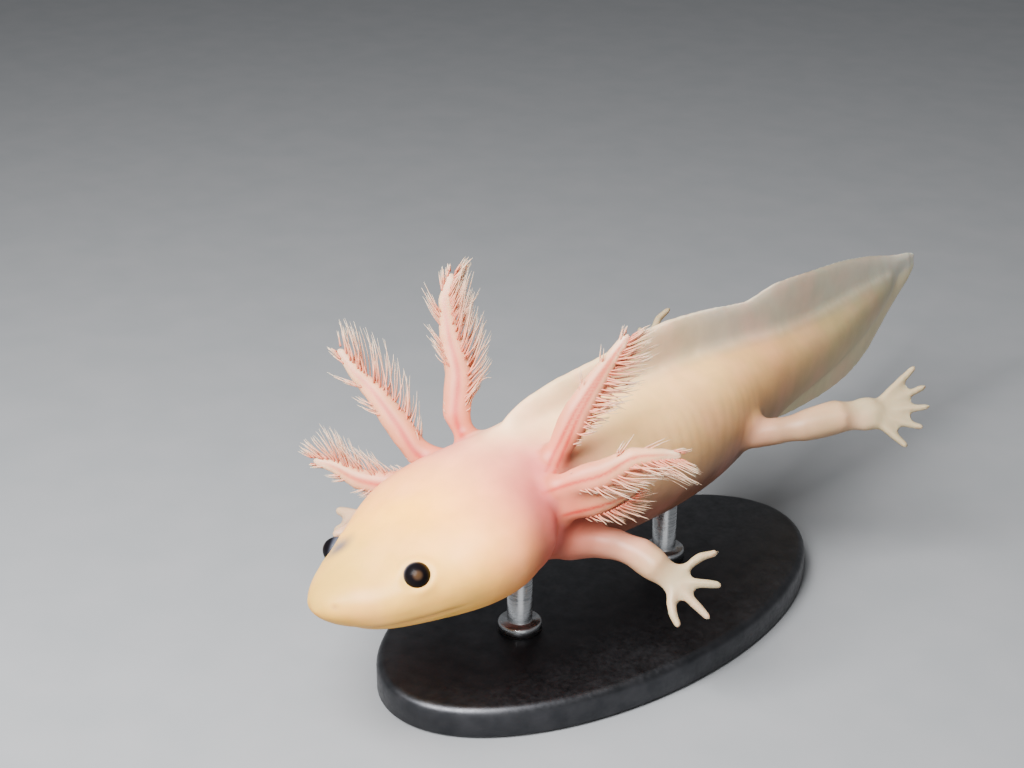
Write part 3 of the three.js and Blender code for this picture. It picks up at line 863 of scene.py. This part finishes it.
# %% Eye material
EYEBALL = {"Roughness": 0.35, "IOR": 1.3, "Specular IOR Level": 0.1, "Coat Weight": 0.05,
           "Coat Roughness": 0.08, "Coat IOR": 1.34}
eye_material, tree, shader = new_material("wet_eyeball", EYEBALL)
rings_of_eye = ramped(ranged(mark("from_pupil"), 0, 90), [
    (0.0, "#3d2a18"), (0.14, "#36261a"), (0.23, "#1b120f"), (0.28, "#0b080a"), (0.8, "#0a090c"),
    (0.9, "#3a3c46"),
])
colour = over(mark("under_skin"), rings_of_eye, "#43454f")
tree.links.new(colour, shader.inputs["Base Color"])

# %% Eyeballs
EYE_RADIUS = 0.97 * (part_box("eye_left")[1].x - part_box("eye_left")[0].x) / 2
CORNEA_RISE, CORNEA_WIDE = 0.04, 38  # as a share of the radius, and in degrees
AROUND, DOWN = 48, 30
turn, tilt = np.meshgrid(np.linspace(0, 2 * math.pi, AROUND, endpoint=False),
                         np.linspace(0, math.pi, DOWN + 2)[1:-1])


def ball_faces():
    """Faces between the pupil's point, the rings round it and the point behind."""
    last = 1 + AROUND * DOWN
    ring = np.arange(AROUND)
    after = (ring + 1) % AROUND
    faces = [[1 + j, 1 + k, 0] for j, k in zip(ring, after)]
    for a in range(1, last - AROUND, AROUND):
        faces += (a + np.stack([ring, ring + AROUND, after + AROUND, after], 1)).tolist()
    return faces + [[last, last - AROUND + k, last - AROUND + j] for j, k in zip(ring, after)]


for eye, middle in eye_middle.items():
    side = 1 if eye == "eye_left" else -1
    k = np.argmin(((spine - middle) ** 2).sum(1))
    gaze = unit(0.72 * side * spine_left[k] - 0.48 * spine_back[k] + 0.45 * spine_up[k])
    one = unit(np.cross(gaze, spine_up[k]))
    two = np.cross(one, gaze)
    ring_points = (gaze * np.cos(tilt)[..., None] + one * (np.sin(tilt) * np.cos(turn))[..., None]
                   + two * (np.sin(tilt) * np.sin(turn))[..., None]).reshape(-1, 3)
    ways = np.vstack([gaze, ring_points, -gaze])
    from_pupil = np.degrees(np.arccos(np.clip(ways @ gaze, -1, 1)))
    radius = EYE_RADIUS * (1 + CORNEA_RISE * hump(from_pupil, 0, CORNEA_WIDE))
    ball_points = middle + ways * radius[:, None]
    ball = add_object(eye.replace("eye", "eyeball"), ball_points, ball_faces(), eye_material)
    store(ball, "from_pupil", from_pupil)
    edge = unit(0.6 * spine_up[k] - 0.75 * side * spine_left[k] - 0.3 * spine_back[k])
    store(ball, "under_skin", step(ways @ edge, 0.25, 0.6) * step(ways @ gaze, 0.6, 0.2))
    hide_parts(eye)
    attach(ball, "root")
    print(ball.name, "looks along", gaze.round(2))

# %% [markdown]
# ## Gill filaments
# Each gill carries rows of filaments as fine as thread, through which the animal breathes.
# They stand out from both edges, lean towards the tip and sway a little. Hair isn't used, as
# it would be lost outside Blender. Each filament is a thin tapering tube along a bent line,
# and all those of one gill are made at once as arrays. The map named OFBake gives each one a
# tiny patch at its root's place, round and along the stalk.

# %% Filament material
# Bare moist skin over the finest vessels: red where it leaves the stalk, cream at the tip.
FILAMENT = {"Roughness": 0.4, "IOR": 1.38, "Subsurface Weight": 0.4, "Subsurface Scale": 0.3 * MM,
            "Subsurface Radius": (1.0, 0.5, 0.4)}
filament_material, tree, shader = new_material("gill_filament", FILAMENT)
from_root = ramped(mark("strand"), [
    (0, "#b5604a"), (0.25, "#ba765a"), (0.6, "#be9074"), (1, "#c4a88e"),
])
tipward = ramped(mark("gill_along"), [(0, 0.6), (0.9, 0.0)])
colour = over(times(tipward, ranged(mark("strand"), 1.2, 0.2)), from_root, "#cf7860")
tree.links.new(colour, shader.inputs["Base Color"])

# %% One gill's filaments
ROWS = (-24, 0, 24)  # degrees round the stalk from its edge
FILAMENT_SIDES = 5
FILAMENT_RINGS = 8
FILAMENT_RADIUS = 0.08  # mm at the root
ROOT_SPACING = 0.26  # mm between filaments of a row
BARE = 0.13  # the share of the stalk, from its root, that has no filaments
SHORT_CURL = 0.3  # how much more those on the short side curl
ROW_SPREAD = 5  # degrees
SWAY = 0.08
PATCH = 0.003


def growing(facts, habit, longer, chance):
    """How far along the stalk each filament of a row grows, from 0 to 1."""
    count = int(facts["length"] / MM / ROOT_SPACING)
    part = BARE + (1 - BARE) * (np.arange(count) + chance.random(count)) / count
    if longer:
        return part[chance.random(count) < habit["dense"]]
    tuft = 0.5 + 0.5 * np.sin(part * 24 + 1.3 * np.sin(part * 9))
    return part[tuft < habit["short"] * chance.uniform(0.6, 1.6, count)]


def row_of_filaments(facts, habit, side, row, chance):
    """Centre lines, radii and root places of one row, on one side of the stalk."""
    longer = facts["reach"][side].mean() >= facts["reach"][-side].mean()
    part = growing(facts, habit, longer, chance)
    count = len(part)
    index = np.minimum((part * (PATH_STEPS - 1)).astype(int), PATH_STEPS - 1)
    out, way, across = (facts[key][index] for key in ("out", "way", "across"))
    angle = np.radians(row + chance.normal(0, ROW_SPREAD, count))[:, None]
    away_from = out * side * np.cos(angle) + across * np.sin(angle)
    lean = habit["lean"] + 0.12 * chance.normal(0, 1, count) + 0.1 * np.sin(part * 37)
    lean = (lean + 2.2 * part**6)[:, None]  # at the tip they point straight on
    way_out = unit(away_from + lean * way)
    fullness = chance.uniform(0.82, 1.05, count) if longer else chance.uniform(0.5, 1, count)
    start = facts["thick"][index] * 0.7  # roots sit inside the stalk
    reach = np.maximum(facts["reach"][side][index] * MM - start, LEAST_REACH * MM) * fullness
    length = reach * np.minimum(np.sqrt(1 + lean[:, 0] ** 2), 1.35)
    length *= 1 - 0.5 * part**8
    root = facts["path"][index] + away_from * start[:, None]
    curl = habit["curl"] + (0 if longer else SHORT_CURL) + chance.normal(0, 0.12, count)
    curl *= 1 - part**4
    sway = chance.normal(0, SWAY, (count, 1))
    phase = chance.uniform(0, 6.28, (count, 1))
    t = np.linspace(0, 1, FILAMENT_RINGS)[:, None]
    wave = np.sin(t[None] * 5 + phase[:, None]) - np.sin(phase)[:, None]
    line = t[None] * way_out[:, None] + (t**2)[None] * (curl[:, None] * way)[:, None]
    line = line + wave * (sway * across)[:, None] + wave * (0.6 * sway[::-1] * way)[:, None]
    radii = FILAMENT_RADIUS * chance.uniform(0.75, 1.1, count)
    around = (row / 360 + (0.25 if side == 1 else 0.75)) * np.ones(count)
    roots = np.c_[around, part * 0.98, part]
    return root[:, None] + line * length[:, None, None], radii * MM, roots


# %% Tubes round lines
TAPER = (1.2, 1.05, 0.9, 0.75, 0.6, 0.48, 0.34, 0.14)  # one for each ring, root first


def tubes(lines, radii):
    """A tapering tube round each line: all points, and the faces between them."""
    forward = unit(np.gradient(lines, axis=1))
    sidewards = unit(np.cross(forward, (0.3, 0.2, 0.9)))
    upwards = np.cross(forward, sidewards)
    turn = np.linspace(0, 2 * math.pi, FILAMENT_SIDES, endpoint=False)[:, None]
    size = (radii[:, None] * np.array(TAPER))[:, :, None, None]
    ring = sidewards[:, :, None] * np.cos(turn) + upwards[:, :, None] * np.sin(turn)
    points = lines[:, :, None] + ring * size
    one = np.arange(FILAMENT_RINGS * FILAMENT_SIDES).reshape(FILAMENT_RINGS, FILAMENT_SIDES)
    after = np.roll(one, -1, axis=1)
    walls = np.stack([one[:-1], one[1:], after[1:], after[:-1]], -1).reshape(-1, 4)
    starts = np.arange(len(lines)) * one.size
    faces = (walls[None] + starts[:, None, None]).reshape(-1, 4).tolist()
    faces += (one[0] + starts[:, None]).tolist() + (one[-1][::-1] + starts[:, None]).tolist()
    return points.reshape(-1, 3), faces


# %% Grow the filaments
SEED = 40
for number, (gill, facts) in enumerate(gill_facts.items()):
    chance = np.random.default_rng(SEED + number)
    rows = [
        row_of_filaments(facts, HABITS[gill], side, row, chance) for side in (1, -1) for row in ROWS
    ]
    lines, radii, roots = (np.concatenate(things) for things in zip(*rows))
    tube_points, tube_faces = tubes(lines, radii)
    made = add_object(gill.replace("gill", "filaments"), tube_points, tube_faces, filament_material)
    strand = np.tile(np.repeat(np.linspace(0, 1, FILAMENT_RINGS), FILAMENT_SIDES), len(lines))
    around = np.tile(np.linspace(0, 1, FILAMENT_SIDES), FILAMENT_RINGS * len(lines))
    each = FILAMENT_RINGS * FILAMENT_SIDES
    store(made, "strand", strand)
    store(made, "gill_along", np.repeat(roots[:, 2], each))
    patch = np.repeat(roots[:, :2], each, axis=0) + PATCH * np.c_[around, strand]
    corners = read(made.data.loops, "vertex_index", 1, int)[:, 0]
    made.data.uv_layers.new(name="OFBake").data.foreach_set("uv", patch[corners].ravel())
    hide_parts(gill.replace("gill", "plume"))
    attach(made, "root")
    print(made.name, len(lines), "filaments,", len(tube_faces), "faces")

# %% [markdown]
# ## Stand
# A swimming animal has to be held up, as in a museum: two thin steel rods rise from an oval
# plate into the belly. The plate is cut from steel that was blackened in hot oil, which leaves
# it dark, satin and faintly patchy. Its edge is rounded. The rods are bare steel, brushed round
# and round, and each sits in a small collar. All are made as stacks of rings, narrow or wide.

# %% Bodies of rings
def turned(name, middle, rings, segments, material, replaced):
    """A closed body of rings: each ring has a height and two half widths."""
    turn = np.linspace(0, 2 * math.pi, segments, endpoint=False)
    points = np.vstack([
        np.stack([middle[0] + wide * np.cos(turn), middle[1] + deep * np.sin(turn),
                  np.full(segments, height)], 1) for height, wide, deep in rings
    ])
    faces = []
    for i in range(len(rings) - 1):
        for j in range(segments):
            a, b = i * segments + j, i * segments + (j + 1) % segments
            faces.append([a, b, b + segments, a + segments])
    top = (len(rings) - 1) * segments
    faces += [list(range(segments - 1, -1, -1)), list(range(top, top + segments))]
    made = add_object(name, points, faces, material)
    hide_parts(replaced)
    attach(made, "root")
    return made


# %% Blackened and brushed steel
black_material, tree, shader = new_material("blackened_steel", {"Metallic": 1.0})
worn = ranged(noise(1.5, 4.0), 0.3, 0.7)
tree.links.new(ramped(worn, [(0, "#3b3c3f"), (1, "#4a4a4d")]), shader.inputs["Base Color"])
tree.links.new(ranged(noise(0.4, 3.0), 0.3, 0.7, 0.38, 0.5), shader.inputs["Roughness"])
steel_material, tree, shader = new_material("brushed_steel", {"Metallic": 1.0})
BRUSH_LINES = 0.15  # mm between them, drawn coarser than real ones to show
brushed = noise(BRUSH_LINES, 2.0, (0.1, 0.1, 1))
colour = ramped(ranged(brushed, 0.3, 0.7), [(0, "#a9abad"), (1, "#c6c7c8")])
tree.links.new(colour, shader.inputs["Base Color"])
tree.links.new(ranged(brushed, 0.3, 0.7, 0.22, 0.36), shader.inputs["Roughness"])

# %% Plate and rods
BEVEL = 0.3 * MM
EDGE = 0.7 * MM
base_low, base_high = (np.array(corner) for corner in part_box("stand_base"))
half_x, half_y, _ = (base_high - base_low) / 2
plate_rings = [(base_low[2], half_x - BEVEL, half_y - BEVEL), (base_low[2] + BEVEL, half_x, half_y)]
for bend in np.linspace(0, math.pi / 2, 7):
    inwards = EDGE * (1 - math.cos(bend))
    lower = EDGE * (1 - math.sin(bend))
    plate_rings.append((base_high[2] - lower, half_x - inwards, half_y - inwards))
turned("stand_plate", (base_low + base_high) / 2, plate_rings, 128, black_material, "stand_base")

# The collar's rings: mm above the plate, and how many times as wide as the rod.
COLLAR = [(-0.05, 1.75), (0.7, 1.75), (0.85, 1.6), (0.85, 1.02), (0.9, 1)]
for rod in RODS:
    rod_low, rod_high = (np.array(corner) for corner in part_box(rod))
    radius = (rod_high[0] - rod_low[0]) / 2
    sizes = [(base_high[2] + up * MM, radius * wider) for up, wider in COLLAR]
    sizes.append((rod_high[2] - 0.1 * MM, radius))
    turned(rod + "_turned", (rod_low + rod_high) / 2, [(h, r, r) for h, r in sizes], 48,
           steel_material, rod)
    print(rod, "is", round(2 * radius / MM, 1), "mm thick")

# %% [markdown]
# ## Floor and light
# The floor is a plain sheet of pale grey paper, which is matt and takes soft shadows. A large
# soft lamp above and in front of the head lights the head and the back. A weak one to the left,
# and the even light of a pale studio, keep the belly and the far side from going dark.

# %% Floor and lights
HALF_FLOOR = 3  # metres
floor_material, tree, shader = new_material("pale_paper", {"Roughness": 0.9})
colour = ramped(noise(6.0), [(0.3, "#747678"), (0.7, "#78797b")])
tree.links.new(colour, shader.inputs["Base Color"])
signs = ((-1, -1), (1, -1), (1, 1), (-1, 1))
floor_corners = [(x * HALF_FLOOR, y * HALF_FLOOR, 0) for x, y in signs]
floor = add_object("floor", floor_corners, [(0, 1, 2, 3)], floor_material)
floor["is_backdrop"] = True


def add_light(name, place, power, size, target=(0, 0, 15)):
    """A square lamp. The place, size and target are in mm and the power is in watts."""
    lamp = bpy.data.lights.new(name, "AREA")
    lamp.energy = power
    lamp.size = size * MM
    made = bpy.data.objects.new(name, lamp)
    bpy.context.collection.objects.link(made)
    made.location = Vector(place) * MM
    made.rotation_mode = "QUATERNION"
    made.rotation_quaternion = (Vector(target) * MM - made.location).to_track_quat("-Z", "Y")
    print(name, "lamp,", power, "W")


add_light("key", (15, -105, 130), 1.5, 110)
add_light("fill", (250, -200, 120), 0.2, 250)
world = bpy.data.worlds.new("studio")
bpy.context.scene.world = world
world.use_nodes = True
sky = world.node_tree.nodes["Background"]
sky.inputs["Color"].default_value = (0.8, 0.82, 0.85, 1)
sky.inputs["Strength"].default_value = 0.34

# %% [markdown]
# ## Sizes
# The dressed model has to keep the size of the solids, so both boxes are measured and
# compared, and their differences printed.

# %% Compare sizes and finish
low_corner, high_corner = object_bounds()
for name, a, b, c, d in zip("xyz", cad_low, low_corner, cad_high, high_corner):
    print(name, "differs by", round((b - a) / MM, 2), "and", round((d - c) / MM, 2), "mm")
